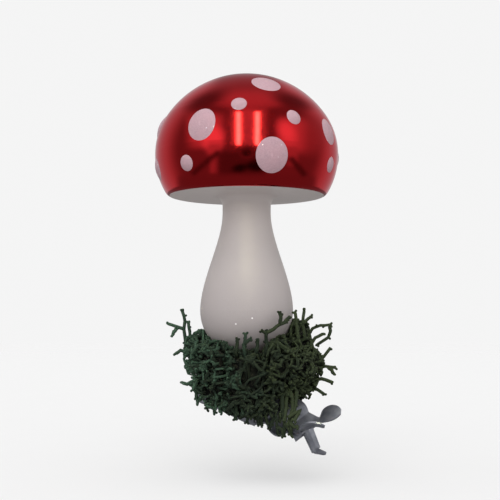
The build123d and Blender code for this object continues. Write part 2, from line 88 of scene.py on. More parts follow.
# Studio: background, sky and floor, and two wide soft lights by azimuth from the camera, elevation and spread
BACKGROUND = 0.91
AMBIENT = 0.73
AMBIENT_FRONT = 0.6
FLOOR_DROP = 0.4 * MM
FLOOR_SIZE = 6.0
FLOOR_FADE = (0.5, 1.6)
FLOOR_SEEN = (0.85, 0.87)
FLOOR_BOUNCE = 0.45
FLOOR_GLOW = 0.5
FLOOR_SPECKLE = 40
TOP_LIGHT = dict(azimuth=-30.0, elevation=68.0, spread=70.0, strength=0.63)
KEY_LIGHT = dict(azimuth=-8.0, elevation=34.0, spread=50.0, strength=0.90)

# What shiny surfaces see, each thing by name, shape, across, up, half width, half height, softness, lean in
# degrees, brightness and colour. Across and up are the slope of a mirror on the cap that shows the thing to
# someone at the photograph's viewpoint. Later things cover earlier ones.
WHITE = (1.0, 1.0, 1.0)
WARM = (1.0, 1.0, 0.66)
STUDIO_WALLS = 0.68
STUDIO = [
    ("room", "oval", 0.0, 0.05, 0.80, 0.84, 0.09, 0, 0.24, WHITE),
    ("crown", "box", 0.0, 0.86, 0.34, 0.20, 0.10, 0, 0.42, WHITE),
    ("ceiling", "oval", 0.03, 0.70, 0.30, 0.10, 0.06, 0, 0.70, WHITE),
    ("left_corner", "oval", -0.42, 0.70, 0.20, 0.07, 0.05, 24, 0.16, WHITE),
    ("right_corner", "oval", 0.47, 0.69, 0.19, 0.07, 0.05, -20, 0.16, WHITE),
    ("right_wall", "oval", 0.68, 0.25, 0.15, 0.24, 0.08, 0, 0.45, WHITE),
    ("table", "box", 0.0, -0.62, 0.72, 0.34, 0.05, 0, 0.22, WHITE),
    ("left_box", "box", -0.43, 0.30, 0.165, 0.21, 0.09, 0, 1.0, WHITE),
    ("left_box_heart", "oval", -0.36, 0.20, 0.11, 0.15, 0.06, 0, 1.65, WHITE),
    ("left_low", "box", -0.34, 0.05, 0.07, 0.08, 0.04, 0, 0.75, WHITE),
    ("left_table", "box", -0.33, -0.15, 0.05, 0.11, 0.03, 0, 0.55, WHITE),
    ("right_box", "box", 0.47, 0.24, 0.13, 0.22, 0.09, 0, 0.85, WHITE),
    ("right_box_heart", "oval", 0.42, 0.28, 0.08, 0.14, 0.06, 20, 1.5, WHITE),
    ("right_table", "box", 0.48, -0.04, 0.05, 0.12, 0.04, 0, 0.60, WHITE),
    ("screen", "box", 0.02, 0.36, 0.185, 0.25, 0.05, 0, 0.55, WHITE),
    ("screen_middle", "box", 0.013, 0.36, 0.06, 0.24, 0.03, 0, 0.70, WHITE),
    ("dark_table", "box", -0.06, -0.13, 0.25, 0.15, 0.05, 0, 0.12, WHITE),
    ("left_leg", "box", -0.43, -0.13, 0.20, 0.03, 0.03, 46, 0.09, WHITE),
    ("right_leg", "box", 0.535, -0.175, 0.14, 0.035, 0.03, -56, 0.09, WHITE),
    ("dark_left", "oval", -0.07, -0.20, 0.08, 0.05, 0.03, 15, 0.015, WHITE),
    ("dark_right", "oval", 0.10, -0.17, 0.10, 0.07, 0.03, 0, 0.015, WHITE),
    ("lens_ring", "oval", 0.0, 0.0, 0.085, 0.085, 0.02, 0, 0.17, WHITE),
    ("lens", "oval", 0.0, 0.0, 0.045, 0.045, 0.02, 0, 0.04, WHITE),
    ("left_strip", "box", -0.085, 0.325, 0.022, 0.222, 0.013, 0, 16.0, WARM),
    ("right_strip", "box", 0.112, 0.325, 0.022, 0.222, 0.013, 0, 16.0, WARM),
]

# Painted glints on the bulb, white spots where glitter would catch the light: degrees from the camera's side,
# and millimetres above the neck's end. A spot is full inside the first radius and gone outside the second.
BULB_PAINTED_GLINTS = [(-13.4, 17.2), (6.6, 19.0), (118.0, 22.0), (-97.0, 24.0), (141.0, 19.5), (-160.0, 26.0)]
PAINTED_GLINT_RADII = (0.16 * MM, 0.32 * MM)

# Looks. Colours are as on a screen, 0 to 255, and a pair is a dark and a light shade. The lacquer's colours
# are linear. Scales of textures are cells to the metre. Most of a noise lies in the noise band.
NOISE_BAND = (0.3, 0.7)
LACQUER = ((0.47, 0.012, 0.016, 1), (0.55, 0.016, 0.020, 1))
LACQUER_EDGE = (0.90, 0.72, 0.76, 1)
LACQUER_CLOUDS = 55
LACQUER_FINE = 900
LACQUER_ROUGHNESS = (0.10, 0.14)
LACQUER_UNEVEN = 0.3 * MM
PAINT = ((174, 143, 151), (188, 157, 165))
PAINT_PATCH = (191, 153, 161)
PAINT_PATCH_SHARE = 0.5
PAINT_LUMPS = 300
PAINT_FLAKES = 3400
PAINT_ROUGHNESS = (0.7, 0.25)
SPARK = (245, 240, 250)
SPARK_BAND = (0.996, 0.998)
SPARK_METALLIC = 0.8
FLAKE_RELIEF = 0.06 * MM
PEARL = ((178, 170, 168), (186, 178, 176))
# Painted light: the stem is painted lighter towards its top and the underside, between these levels
PEARL_PAINTED_LIGHT_TOP = (206, 196, 193)
PAINTED_LIGHT_TOP_LEVELS = (38 * MM, 54 * MM)
FROST = ((166, 158, 157), (173, 165, 164))
FROST_LEVELS = (18 * MM, 40 * MM)
FROST_DUST = (181, 173, 172)
FROST_DUST_SHARE = 0.3
# White of the painted glints on the bulb
PAINTED_GLINT_WHITE = (255, 254, 252)
GLASS_CLOUDS = 90
GLASS_FLAKES = 3600
GLASS_METALLIC = (0.05, 0.0)
GLASS_ROUGHNESS = (0.46, 0.6)
ZINC = ((118, 120, 130), (160, 162, 171))
SPRING_STEEL = ((112, 112, 120), (150, 150, 156))
TINPLATE = ((130, 130, 134), (176, 176, 178))
METAL_CLOUDS = 180
METAL_LINES = (300, 5000, 5000)
METAL_LINE_RELIEF = 0.03 * MM
METAL_DULL_BAND = (0.3, 0.75)
METAL_DULLER = 0.08
CEMENT = ((150, 146, 138), (196, 190, 180))
HOT_GLUE = ((150, 138, 100), (190, 178, 140))
GRAIN_SMOOTHER = 0.12
# Painted shade: the heart of a tuft, seen between the strands, is painted near black
MOSS_HEART_PAINTED_SHADE = ((5, 6, 4), (13, 16, 11))
MOSS_LEFT = (66, 90, 72)
MOSS_MIDDLE = (33, 42, 31)
MOSS_RIGHT = (57, 66, 44)
MOSS_MOTTLE = (32, 39, 31)
MOSS_MOTTLE_BAND = (0.35, 0.75)
MOSS_MOTTLE_SHARE = 0.45
# Painted shade: twigs lying deep in a tuft are painted towards this dark colour
MOSS_PAINTED_SHADE = (9, 11, 8)
MOSS_PAINTED_SHADE_BAND = (0.05, 0.85)
MOSS_FINE = 1500
MOSS_RELIEF = 0.1 * MM
MOSS_ROUGHNESS_BAND = (0.2, 0.8)
MOSS_ROUGHNESS = (0.95, 0.75)

# Torsion spring, as in the solid it stands for
SPRING_WIRE = 0.8 * MM
SPRING_DIAMETER = 4.6 * MM
SPRING_PITCH = 1.3 * MM
SPRING_TURNS = 3
SPRING_LEG = 12.0 * MM
SPRING_LEG_END = 3.84 * MM
SPRING_SIDES = 10
SPRING_STEPS_PER_TURN = 40

# Moss: each tuft has a heart painted near black as painted shade deep in the moss, which is its solid without
# the thin parts, shrunk a little and moved to the collar's outline: a bowl below, and a top that is lower in
# front
MOSS_SEED = 7
HEART_VOXEL = 0.7 * MM
HEART_THINNEST = 2.3 * MM
HEART_PROBE = 0.2 * HEART_VOXEL
HEART_SMOOTHINGS = 5
HEART_SHRINK = 0.9 * MM
CLOSING_ROUNDS = 6
GLASS_STEP = 0.5 * MM
BOWL_BOTTOM = -12.6 * MM
BOWL_RISE = 11.0 * MM
BOWL_REACH_LEFT = 19.0 * MM
BOWL_REACH_RIGHT = 33.0 * MM
BOWL_POWER = 1.6
COLLAR_TOP_LEFT = 15.3 * MM
COLLAR_TOP_RIGHT = 15.6 * MM
COLLAR_TOP_FRONT = 7.4 * MM
COLLAR_SWELL = 3.4 * MM
COLLAR_SWELL_RANGE = (9.0 * MM, 18.0 * MM)
COLLAR_SWELL_TOP = (4.0 * MM, 9.0 * MM)
COLLAR_PINCH = 1.6 * MM
COLLAR_DROP = 3.0 * MM
COLLAR_DROP_RANGE = (-6.0 * MM, 5.0 * MM)
CLIP_HALF_WIDTH = 7.6 * MM
CLIP_TOP = 5.4 * MM

# Twigs of the moss. A spread is the range from which chance picks, and multiplies what it belongs to, but a
# fork's is in degrees, and those of the tint and of the fringe's level are added.
TWIG_RADIUS = 0.54 * MM
TWIG_SIDES = 7
TWIG_STEPS = 4
TWIG_TAPER = 0.18
TIP_LENGTH = 0.6
TIP_RADIUS = 0.5
WANDER = 0.46
FORK_SHORTER = (0.6, 0.85)
FORK_THINNER = 0.85
FORK_SPREAD = (24, 50)
FORK_SIDES = (1, -1, 0)
THIRD_FORK = 0.25
LEAST_SHARE = 0.05
TINT_BY_SIDE = 0.9
TINT_SPREAD = (-0.15, 0.25)

# Strands creep over the heart and rise from it
STRANDS_PER_MM2 = 0.31
STRAND_LENGTH = 3.4 * MM
STRAND_LENGTH_SPREAD = (0.75, 1.2)
STRAND_RADIUS_SPREAD = (0.8, 1.1)
STRAND_LEVELS = 2
STRAND_START_MM = (0.0, 0.6)
STRAND_RISE = 1.25 * MM
STRAND_RISE_SPREAD = (0.2, 1.8)
STRAND_TOP = 2.9 * MM
STRAND_SHORTEST_STEP = 0.2
STRAND_LEAST_POINTS = 3
STRAND_ENDS = (0.6, 1.0, 1.3)
# A strand's painted shade follows how high it lies over the heart, spread at random by this
STRAND_PAINTED_SHADE_SPREAD = (0.7, 1.1)

# Short sprigs stand out of the heart
SPRIGS_PER_MM2 = 0.065
SPRIG_LENGTH = 1.7 * MM
SPRIG_LENGTH_SPREAD = (0.8, 1.3)
SPRIG_THINNER = 0.95
SPRIG_LEVELS = 2
SPRIG_WANDER = 0.6
SPRIG_END = 1.1
# Painted shade of a sprig's first forks; its last forks are painted unshaded
SPRIG_PAINTED_SHADE = 0.6

# A fringe hangs over the clip: for each tuft how far across it starts and ends, in millimetres, and its count
FRINGES = {"moss_front": (1.0, 10.0, 26), "moss_right": (9.0, 19.0, 34), "moss_front_left": (-14.0, 0.0, 20)}
FRINGE_REACH_MM = 19.5
FRINGE_LEVEL_MM = -7.5
FRINGE_LEVEL_SPREAD_MM = (-1, 1)
FRINGE_CLIMB = 0.16
FRINGE_LENGTH = 3.1 * MM
FRINGE_LENGTH_SPREAD = (0.7, 1.2)
FRINGE_OUT = 0.5
FRINGE_ASIDE = 0.35
FRINGE_WANDER = 0.5

# Sprigs set one by one have kinks, thick stalks, and buds at the end and along them
SET_KINK = 0.16 * MM
SET_RADIUS_SPREAD = (1.05, 1.3)
# Painted shade of the set sprigs
SET_PAINTED_SHADE = 0.85
SET_END = 1.05
BUD_SHARE = 0.45
BUD_LENGTH = 0.9 * MM
BUD_SPREAD = (0.6, 1.1)
END_BUD_THINNER = 0.85
SIDE_BUD_THINNER = 0.8

# For each tuft these sprigs as points across, above the neck's end and towards the camera, in millimetres
# from the mushroom's axis. A "root" starts in the tuft, and a "fork" on an earlier sprig.
SET_SPRIGS = {
    "moss_left": [
        ("root", (-20.0, 10.5, -3.0), (-20.6, 15.3, -3.0), (-20.3, 18.0, -3.2), (-21.1, 21.1, -3.0)),
        ("fork", (-20.6, 15.4, -3.0), (-23.3, 16.3, -2.6), (-25.4, 17.0, -2.4)),
        ("fork", (-22.4, 16.0, -2.8), (-23.5, 14.7, -2.4), (-24.1, 13.6, -2.2)),
        ("root", (-18.5, 13.5, -1.0), (-18.8, 15.8, -0.5), (-18.9, 17.2, 0.0)),
        ("root", (-19.6, 8.0, 0.0), (-21.4, 8.6, 0.6), (-22.8, 7.6, 1.0)),
    ],
    "moss_front_left": [
        ("root", (-10.2, -6.4, 9.5), (-10.3, -8.3, 10.2), (-10.1, -10.2, 10.4)),
        ("root", (-7.8, -7.4, 11.0), (-7.5, -9.4, 11.4)),
        ("root", (-14.0, -4.6, 6.0), (-15.0, -6.4, 6.6), (-15.5, -7.8, 6.8)),
        ("root", (-17.0, -1.0, 5.0), (-19.0, -2.0, 5.6), (-20.2, -1.6, 6.0)),
    ],
    "moss_front": [
        ("root", (6.3, 9.4, 15.2), (6.1, 12.0, 15.0), (6.1, 14.5, 15.2)),
        ("fork", (6.1, 14.5, 15.2), (8.2, 15.5, 14.8), (10.5, 17.2, 14.4)),
        ("fork", (10.5, 17.2, 14.4), (10.6, 18.8, 14.6), (10.3, 20.4, 15.0)),
        ("fork", (10.5, 17.2, 14.4), (11.8, 17.6, 14.0), (13.0, 19.0, 13.8)),
        ("fork", (6.1, 14.3, 15.2), (4.9, 15.0, 15.6)),
        ("root", (-0.8, 9.0, 16.0), (-0.6, 11.4, 16.0), (-0.3, 14.0, 16.2)),
        ("fork", (-0.6, 11.0, 16.0), (0.8, 12.4, 16.3)),
        ("root", (-3.4, 8.6, 16.0), (-3.1, 10.4, 16.0), (-2.9, 12.2, 16.2)),
        ("root", (3.0, 8.8, 16.2), (3.4, 10.6, 16.2), (3.4, 11.8, 16.4)),
        ("root", (-3.4, -8.0, 14.4), (-3.0, -10.2, 15.0), (-3.5, -11.8, 15.2)),
        ("root", (0.0, -8.4, 14.8), (0.5, -10.8, 15.4), (0.1, -12.6, 15.4)),
        ("root", (2.8, -8.0, 15.0), (3.1, -10.8, 15.4), (3.6, -13.2, 15.4)),
        ("fork", (3.1, -11.0, 15.4), (4.4, -12.2, 15.4), (4.7, -13.6, 15.4)),
        ("root", (5.0, -6.5, 15.0), (5.8, -10.0, 15.4), (6.2, -12.8, 15.4)),
        ("root", (7.6, -5.0, 14.5), (8.6, -9.0, 15.0), (9.3, -13.0, 15.2), (9.6, -16.4, 15.2)),
        ("fork", (9.0, -11.5, 15.1), (7.6, -13.0, 15.2), (7.0, -14.6, 15.2)),
        ("fork", (9.4, -14.2, 15.2), (10.8, -15.0, 15.2), (11.2, -16.8, 15.2)),
    ],
    "moss_right": [
        ("root", (16.4, 12.4, 9.0), (15.8, 16.6, 9.2), (15.3, 20.6, 9.4)),
        ("root", (18.6, 12.6, 6.0), (17.8, 17.0, 6.4), (18.3, 21.2, 6.6)),
        ("fork", (17.8, 17.2, 6.4), (19.6, 18.8, 6.2), (20.4, 19.4, 6.0)),
        ("root", (11.0, -5.5, 14.0), (10.9, -9.5, 14.6), (11.8, -13.4, 14.8), (11.4, -16.8, 14.8)),
        ("fork", (11.6, -13.0, 14.8), (13.2, -14.4, 14.8), (13.6, -16.2, 14.8)),
        ("root", (14.0, -4.6, 13.0), (14.2, -9.0, 13.8), (13.6, -13.0, 14.2), (14.4, -16.4, 14.2)),
        ("root", (12.6, -4.6, 13.2), (12.2, -8.6, 13.8), (12.9, -11.8, 14.0)),
        ("fork", (12.2, -8.8, 13.8), (10.8, -10.2, 14.0), (10.6, -12.2, 14.0)),
        ("root", (15.6, -3.8, 12.6), (15.0, -8.4, 13.4), (15.2, -12.6, 13.8), (14.9, -15.2, 13.8)),
        ("fork", (15.2, -12.0, 13.8), (17.0, -13.0, 13.6), (18.4, -12.4, 13.6)),
        ("fork", (15.0, -10.0, 13.6), (16.8, -9.4, 13.4), (17.8, -10.4, 13.4)),
    ],
    "moss_back_right": [
        ("root", (20.0, 13.0, 0.0), (21.4, 15.6, 0.4), (24.0, 16.6, 0.6), (27.0, 16.8, 0.6)),
        ("fork", (27.0, 16.8, 0.6), (27.2, 14.8, 0.6), (26.4, 12.7, 0.6), (23.2, 10.6, 0.2)),
        ("root", (20.6, 9.6, 1.0), (22.2, 12.6, 1.0), (24.6, 13.8, 1.0)),
        ("root", (21.6, 4.6, -1.0), (25.0, 6.4, -0.6), (27.0, 9.0, -0.4)),
        ("root", (22.0, 2.6, 0.0), (25.4, 3.4, 0.0), (28.6, 3.0, 0.0)),
        ("fork", (26.4, 3.3, 0.0), (27.6, 2.2, 0.2), (28.0, 1.2, 0.2)),
        ("root", (20.6, -1.0, 0.0), (24.2, -0.6, 0.4), (27.2, -1.6, 0.6)),
        ("root", (19.6, -3.4, 0.6), (22.8, -4.0, 1.0), (24.8, -5.4, 1.0)),
    ],
}

glass_low, glass_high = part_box("glass_body")
AXIS = Vector(((glass_low[0] + glass_high[0]) / 2, (glass_low[1] + glass_high[1]) / 2, 0))
NECK_END_Z = glass_low[2]
CAP_TOP_Z = glass_high[2]
view_turn = math.radians(VIEW_AZIMUTH)
TOWARD = Vector((math.sin(view_turn), -math.cos(view_turn), 0))
ACROSS = Vector((math.cos(view_turn), math.sin(view_turn), 0))
VIEWPOINT = AXIS + TOWARD * VIEW_DISTANCE + UP * VIEW_HEIGHT
CAP_TO_VIEWPOINT = (VIEWPOINT - AXIS - UP * (CAP_TOP_Z - CAP_MIDDLE)).normalized()
SLOPE_UP = (UP - CAP_TO_VIEWPOINT * UP.dot(CAP_TO_VIEWPOINT)).normalized()

jaw = frame["joints"][0]
HINGE = Vector(jaw["pos_m"])
PIN_WAY = Vector(jaw["axis"]).normalized()
CLIP_AHEAD = (-HINGE).normalized()
CLIP_UP = CLIP_AHEAD.cross(PIN_WAY).normalized()


def lowest_when_open():
    """Lowest level that the swinging lever reaches when the jaws are fully open."""
    turn = Matrix.Rotation(math.radians(jaw["range_deg"][1]), 3, PIN_WAY)
    corners = frame["nodes"]["lower_lever"].data.vertices
    return min((HINGE + turn @ (corner.co - HINGE)).z for corner in corners)


FLOOR_Z = min(cad_box[0][2], lowest_when_open()) - FLOOR_DROP


def add(tree, kind, inputs=None, **settings):
    """A node with its settings made and its inputs set or linked."""
    node = tree.nodes.new(kind)
    for key, value in settings.items():
        setattr(node, key, value)
    set_inputs(tree, node, inputs or {})
    return node


def set_inputs(tree, node, values):
    """Sets each input to a value, or links it to another node's socket."""
    for key, value in values.items():
        if isinstance(value, bpy.types.NodeSocket):
            tree.links.new(value, node.inputs[key])
        else:
            node.inputs[key].default_value = value


def maths(tree, operation, first, second=0.0, third=0.0, clamp=False):
    """Result of a sum on numbers."""
    inputs = {0: first, 1: second, 2: third}
    return add(tree, "ShaderNodeMath", inputs, operation=operation, use_clamp=clamp).outputs[0]


def vector_maths(tree, operation, *values, output="Vector"):
    """Result of a sum on vectors."""
    inputs = dict(enumerate(values))
    return add(tree, "ShaderNodeVectorMath", inputs, operation=operation).outputs[output]


def smooth_range(tree, value, low, high, start=0.0, end=1.0):
    """Goes smoothly from start to end as the value goes from low to high."""
    inputs = {"Value": value, "From Min": low, "From Max": high, "To Min": start, "To Max": end}
    return add(tree, "ShaderNodeMapRange", inputs, interpolation_type="SMOOTHSTEP").outputs[0]


def mixed(tree, factor, first, second):
    """Colour between first and second."""
    node = add(tree, "ShaderNodeMix", data_type="RGBA")
    set_inputs(tree, node, {0: factor, 6: first, 7: second})
    return node.outputs[2]


def linear(red, green, blue):
    """Linear colour of 0 to 255 values as they look on a screen, by the sRGB curve."""
    def channel(value):
        value /= 255
        return value / 12.92 if value <= 0.04045 else ((value + 0.055) / 1.055) ** 2.4
    return (channel(red), channel(green), channel(blue), 1.0)


def grey(value):
    """Grey of a linear brightness."""
    return (value, value, value, 1.0)


def clouded(tree, factor, shades):
    """Colour between a dark and a light shade."""
    dark, light = shades
    return mixed(tree, factor, linear(*dark), linear(*light))


def new_material(name):
    """A material with an empty node tree, its output and its surface shader."""
    material = bpy.data.materials.new(name)
    material.use_nodes = True
    tree = material.node_tree
    tree.nodes.clear()
    surface = add(tree, "ShaderNodeBsdfPrincipled")
    output = add(tree, "ShaderNodeOutputMaterial")
    tree.links.new(surface.outputs[0], output.inputs["Surface"])
    return material, tree, surface


def place(tree):
    """Position on the object, which keeps to the object's own frame."""
    return add(tree, "ShaderNodeTexCoord").outputs["Object"]


def grain(tree, where, scale, detail=3.0, roughness=0.55):
    """Cloudy noise."""
    inputs = {"Vector": where, "Scale": scale, "Detail": detail, "Roughness": roughness}
    return add(tree, "ShaderNodeTexNoise", inputs).outputs["Fac"]


def flakes(tree, where, scale):
    """Cells of glitter: a random colour for each cell and the distance to its middle."""
    node = add(tree, "ShaderNodeTexVoronoi", {"Vector": where, "Scale": scale})
    return node.outputs["Color"], node.outputs["Distance"]


def bump(tree, height, strength, distance):
    """Normal of a surface with fine relief."""
    inputs = {"Height": height, "Strength": strength, "Distance": distance}
    return add(tree, "ShaderNodeBump", inputs).outputs[0]


def red_lacquer():
    """Transparent red over silvered glass: a soft-edged red mirror, slightly uneven from the blowing."""
    material, tree, surface = new_material("red_lacquer")
    where = place(tree)
    cloud = grain(tree, where, LACQUER_CLOUDS)
    fine = grain(tree, where, LACQUER_FINE, detail=2)
    set_inputs(tree, surface, {
        "Base Color": mixed(tree, cloud, *LACQUER),
        "Metallic": 1.0,
        "Roughness": smooth_range(tree, fine, *NOISE_BAND, *LACQUER_ROUGHNESS),
        "Specular Tint": LACQUER_EDGE,
        "Coat Weight": 0.08,
        "Coat Roughness": 0.12,
        "Normal": bump(tree, cloud, strength=0.08, distance=LACQUER_UNEVEN),
    })
    return material


def glitter_paint():
    """White paint with fine glitter, tinted a little rosy."""
    material, tree, surface = new_material("glitter_paint")
    where = place(tree)
    colour, gap = flakes(tree, where, PAINT_FLAKES)
    bits = add(tree, "ShaderNodeSeparateColor", {"Color": colour})
    spark = smooth_range(tree, bits.outputs[0], *SPARK_BAND)
    patch = smooth_range(tree, grain(tree, where, PAINT_LUMPS), *NOISE_BAND, 0.0, PAINT_PATCH_SHARE)
    patchy = mixed(tree, patch, clouded(tree, bits.outputs[1], PAINT), linear(*PAINT_PATCH))
    set_inputs(tree, surface, {
        "Base Color": mixed(tree, spark, patchy, linear(*SPARK)),
        "Metallic": maths(tree, "MULTIPLY", spark, SPARK_METALLIC),
        "Roughness": smooth_range(tree, spark, 0, 1, *PAINT_ROUGHNESS),
        "Specular IOR Level": 0.25,
        "Normal": bump(tree, gap, strength=0.3, distance=FLAKE_RELIEF),
    })
    return material


def painted_glints(tree, where):
    """1 on the painted glints, white spots where grains of glitter would catch the light, and 0 elsewhere."""
    glass = frame["nodes"]["glass_body"].data
    corners = [vertex.co for vertex in glass.vertices]
    skin = BVHTree.FromPolygons(corners, [face.vertices for face in glass.polygons])
    painted_glint = 0.0
    for turn, level_mm in BULB_PAINTED_GLINTS:
        way = toward(turn, 0)
        spot = skin.ray_cast(AXIS + way + UP * (NECK_END_Z + level_mm * MM), -way)[0]
        gap = vector_maths(tree, "DISTANCE", where, spot, output="Value")
        painted_glint = maths(tree, "MAXIMUM", painted_glint, smooth_range(tree, gap, *PAINTED_GLINT_RADII, 1, 0))
    return painted_glint


def white_glass():
    """Pearl lacquer over silvered glass on the stem and underside, frosted on the bulb; painted lighter up
    top, with painted glints.
    """
    material, tree, surface = new_material("white_glass")
    where = place(tree)
    height = add(tree, "ShaderNodeSeparateXYZ", {"Vector": where}).outputs["Z"]

    def by_level(levels, start, end):
        low, high = levels
        return smooth_range(tree, height, NECK_END_Z + low, NECK_END_Z + high, start, end)

    frost = by_level(FROST_LEVELS, 1, 0)
    # Painted light: the stem is painted lighter towards its top, standing for light thrown down from the
    # underside
    upper = by_level(PAINTED_LIGHT_TOP_LEVELS, 0, 1)
    cloud = grain(tree, where, GLASS_CLOUDS)
    colour, gap = flakes(tree, where, GLASS_FLAKES)
    bits = add(tree, "ShaderNodeSeparateColor", {"Color": colour})
    dust = maths(tree, "MULTIPLY", bits.outputs[1], frost)
    pearl = mixed(tree, upper, clouded(tree, cloud, PEARL), linear(*PEARL_PAINTED_LIGHT_TOP))
    pearl = mixed(tree, frost, pearl, clouded(tree, cloud, FROST))
    shade = mixed(tree, maths(tree, "MULTIPLY", dust, FROST_DUST_SHARE), pearl, linear(*FROST_DUST))
    set_inputs(tree, surface, {
        # Painted glints: the base colour turns white on the painted glint spots
        "Base Color": mixed(tree, painted_glints(tree, where), shade, linear(*PAINTED_GLINT_WHITE)),
        "Metallic": smooth_range(tree, frost, 0, 1, *GLASS_METALLIC),
        "Roughness": smooth_range(tree, frost, 0, 1, *GLASS_ROUGHNESS),
        "Specular IOR Level": 0.35,
        "Normal": bump(tree, maths(tree, "MULTIPLY", gap, frost), strength=0.25, distance=FLAKE_RELIEF),
    })
    return material


def stamped_metal(name, shades, roughness, metallic):
    """Plated sheet or wire: cloudy plating, fine rolling lines and dull patches."""
    material, tree, surface = new_material(name)
    where = place(tree)
    cloud = grain(tree, where, METAL_CLOUDS)
    stretched = add(tree, "ShaderNodeMapping", {"Vector": where, "Scale": METAL_LINES}).outputs[0]
    lines = grain(tree, stretched, 1.0, detail=2)
    set_inputs(tree, surface, {
        "Base Color": clouded(tree, smooth_range(tree, cloud, *NOISE_BAND), shades),
        "Metallic": metallic,
        "Roughness": smooth_range(tree, cloud, *METAL_DULL_BAND, roughness + METAL_DULLER, roughness),
        "Normal": bump(tree, lines, strength=0.06, distance=METAL_LINE_RELIEF),
    })
    return material


def dull(name, shades, roughness, scale, relief_mm):
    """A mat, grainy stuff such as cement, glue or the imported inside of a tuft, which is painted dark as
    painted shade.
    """
    material, tree, surface = new_material(name)
    cloud = grain(tree, place(tree), scale, detail=6)
    set_inputs(tree, surface, {
        "Base Color": clouded(tree, cloud, shades),
        "Roughness": smooth_range(tree, cloud, *NOISE_BAND, roughness, roughness - GRAIN_SMOOTHER),
        "Normal": bump(tree, cloud, strength=0.6, distance=relief_mm * MM),
    })
    return material


def moss_twigs():
    """Preserved moss: bluish green on one side and olive on the other, with painted shade darker down between
    the strands.
    """
    material, tree, surface = new_material("moss_twigs")
    tint = add(tree, "ShaderNodeAttribute", attribute_name="tint").outputs["Fac"]
    # The lift attribute holds a painted shade, low and painted darker where a twig lies deep in the tuft
    lift = add(tree, "ShaderNodeAttribute", attribute_name="lift").outputs["Fac"]
    fine = grain(tree, place(tree), MOSS_FINE, detail=4)
    bluish = mixed(tree, smooth_range(tree, tint, 0.0, 0.5), linear(*MOSS_LEFT), linear(*MOSS_MIDDLE))
    green = mixed(tree, smooth_range(tree, tint, 0.5, 1.0), bluish, linear(*MOSS_RIGHT))
    mottle = smooth_range(tree, fine, *MOSS_MOTTLE_BAND, 0.0, MOSS_MOTTLE_SHARE)
    mottled = mixed(tree, mottle, green, linear(*MOSS_MOTTLE))
    set_inputs(tree, surface, {
        "Base Color": mixed(tree, smooth_range(tree, lift, *MOSS_PAINTED_SHADE_BAND), linear(*MOSS_PAINTED_SHADE), mottled),
        "Roughness": smooth_range(tree, fine, *MOSS_ROUGHNESS_BAND, *MOSS_ROUGHNESS),
        "Specular IOR Level": 0.2,
        "Normal": bump(tree, fine, strength=0.5, distance=MOSS_RELIEF),
    })
    return material


def paint(node, material):
    """Gives a solid of the frame its material."""
    solid = frame["nodes"][node]
    solid.data.materials.clear()
    solid.data.materials.append(material)


class Twigs:
    """Grows tubes into one mesh, with a tint for each sprig and a painted shade at each point, darker where
    it lies deeper in the tuft.
    """

    def __init__(self):
        self.points = []
        self.faces = []
        self.tint = []
        self.lift = []

    def tube(self, path, radii, sides, tint=0.0, lifts=None):
        """A closed tube along a path."""
        start = len(self.points)
        count = len(path)
        side = None
        for i, (point, radius) in enumerate(zip(path, radii)):
            way = (path[min(i + 1, count - 1)] - path[max(i - 1, 0)]).normalized()
            if side is None:
                side = way.orthogonal().normalized()
            side = (side - way * side.dot(way)).normalized()
            other = way.cross(side)
            for corner in range(sides):
                turn = 2 * math.pi * corner / sides
                self.points.append(point + (side * math.cos(turn) + other * math.sin(turn)) * radius)
                self.tint.append(tint)
                self.lift.append(lifts[i] if lifts else 1.0)
        for i in range(count - 1):
            low = start + i * sides
            for corner in range(sides):
                near = low + corner
                beside = low + (corner + 1) % sides
                self.faces.append((near, beside, beside + sides, near + sides))
        self.faces.append(tuple(range(start + sides - 1, start - 1, -1)))
        last = start + (count - 1) * sides
        self.faces.append(tuple(range(last, last + sides)))

    def twig(self, path, radius, tint, lifts, flare):
        """A tube that thins a little, with a flared or pointed end that is rounded off."""
        count = len(path)
        radii = [radius * (1 - TWIG_TAPER * i / (count - 1)) for i in range(count)]
        radii[-1] *= flare
        way = (path[-1] - path[-2]).normalized()
        end = path[-1] + way * (radii[-1] * TIP_LENGTH)
        self.tube([*path, end], [*radii, radii[-1] * TIP_RADIUS], TWIG_SIDES, tint, [*lifts, lifts[-1]])

    def finish(self, name):
        """The grown tubes as one object."""
        mesh = bpy.data.meshes.new(name)
        mesh.from_pydata(self.points, [], self.faces)
        for key, values in (("tint", self.tint), ("lift", self.lift)):
            mesh.attributes.new(key, "FLOAT", "POINT").data.foreach_set("value", values)
        mesh.shade_smooth()
        thing = bpy.data.objects.new(name, mesh)
        bpy.context.scene.collection.objects.link(thing)
        return thing


def glass_radius_at():
    """Outer radius of the glass by level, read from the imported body."""
    widest = {}
    for vertex in frame["nodes"]["glass_body"].data.vertices:
        level = round((vertex.co.z - NECK_END_Z) / GLASS_STEP)
        radius = (Vector((vertex.co.x, vertex.co.y, 0)) - AXIS).length
        widest[level] = max(radius, widest.get(level, 0.0))
    levels = sorted(widest)

    def radius_at(z):
        level = (z - NECK_END_Z) / GLASS_STEP
        if level <= levels[0]:
            return widest[levels[0]] if level > levels[0] - 1 else 0.0
        for low, high in zip(levels, levels[1:]):
            if low <= level <= high:
                share = (level - low) / (high - low)
                return widest[low] * (1 - share) + widest[high] * share
        return 0.0

    return radius_at


glass_radius = glass_radius_at()


def pushed_clear(point, radius):
    """The point, moved out of the glass if it lies in it."""
    flat = Vector((point.x, point.y, 0)) - AXIS
    least = glass_radius(point.z) + radius
    if flat.length < least:
        flat = flat.normalized() * least
    return Vector((AXIS.x + flat.x, AXIS.y + flat.y, point.z))


